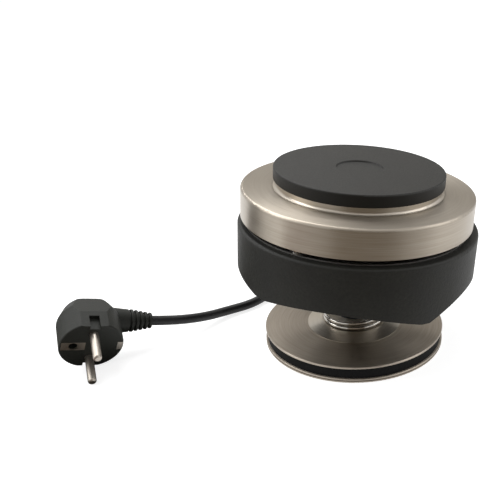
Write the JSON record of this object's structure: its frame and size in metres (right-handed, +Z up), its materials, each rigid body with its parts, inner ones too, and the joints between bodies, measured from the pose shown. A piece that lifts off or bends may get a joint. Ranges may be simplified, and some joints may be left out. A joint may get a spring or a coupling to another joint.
{
  "type": "hot plate burner",
  "caption": "Electric hot plate burner: dark round plate on a brushed steel cap and black housing, sprung and leaning on a round clamping base, with cord and plug.",
  "frame": {"origin": "centre of the foot disc's underside, on the table", "axes": "+Z up along the guide stud, -Y towards the viewer of the picture, +X to the viewer's right"},
  "size_m": [0.2472, 0.3217, 0.1132],
  "materials": {
    "satin_steel": "satin stainless steel",
    "brushed_cap": "turned, brushed stainless steel",
    "bright_steel": "bright plated steel",
    "black_rubber": "black rubber",
    "black_plastic": "fine-grained black heat-proof plastic",
    "cast_plate": "dark heat-proof coated casting",
    "zinc_steel": "zinc-plated steel",
    "mica": "mica board",
    "ceramic": "white steatite",
    "element_sheath": "heat-coloured steel sheath",
    "limiter_body": "brown phenolic",
    "brass_screws": "plain brass",
    "brown_wire": "brown silicone sleeve",
    "blue_wire": "blue silicone sleeve",
    "green_wire": "green and yellow silicone sleeve",
    "cord_jacket": "black cord jacket",
    "plug_plastic": "black moulded plastic",
    "nickel": "nickel-plated brass"
  },
  "bodies": {
    "base": {"foot_disc": "satin_steel", "clamp_ring": "black_rubber", "flange_disc": "satin_steel", "guide_stud": "bright_steel", "base_washer": "zinc_steel", "base_nut": "zinc_steel", "spring_seat": "satin_steel", "stop_washer": "zinc_steel", "stop_nut": "zinc_steel", "head_spring": "bright_steel", "cord_lead": "cord_jacket", "cord_coil": "cord_jacket", "cord_free": "cord_jacket", "coil_tie": "black_plastic", "plug_body": "plug_plastic", "plug_pins": "nickel", "earth_socket": "nickel", "earth_clip": "nickel"},
    "collar": {"guide_collar": "bright_steel"},
    "head": {"housing": "black_plastic", "bottom_cover": "black_plastic", "socket_ring": "black_plastic", "heat_shield": "satin_steel", "cap": "brushed_cap", "spill_ring": "brushed_cap", "hot_plate": "cast_plate", "heating_element": "element_sheath", "temperature_limiter": "limiter_body", "thermal_fuse": "ceramic", "wire_bush": "ceramic", "cord_gland": "black_rubber", "inner_cord": "cord_jacket", "insulation_disc": "mica", "plate_cover": "satin_steel", "clamp_stud": "zinc_steel", "clamp_bar": "zinc_steel", "clamp_spacer": "zinc_steel", "clamp_washer": "zinc_steel", "clamp_nut": "zinc_steel", "cover_screws": "zinc_steel", "socket_screws": "zinc_steel", "pillar_screws": "zinc_steel", "cap_pillars": "bright_steel", "earth_screw": "brass_screws", "terminal_block": "ceramic", "terminal_screws": "brass_screws", "live_wire": "brown_wire", "fuse_wire": "brown_wire", "link_wire": "brown_wire", "neutral_wire": "blue_wire", "earth_wire": "green_wire", "cord_clamp": "black_plastic", "clamp_screws": "zinc_steel"}
  },
  "joints": [
    {"name": "press", "type": "slide", "parent": "base", "child": "collar", "axis": [0, 0, 1], "range_m": [-0.008, 0], "stiffness_N_per_m": 2500, "springref_m": 0.012, "deforming": ["head_spring"]},
    {"name": "lean", "type": "hinge", "parent": "collar", "child": "head", "pos_m": [0, 0, 0.05], "axis": [0, 1, 0], "range_deg": [-8.3, 1.7]}
  ]
}
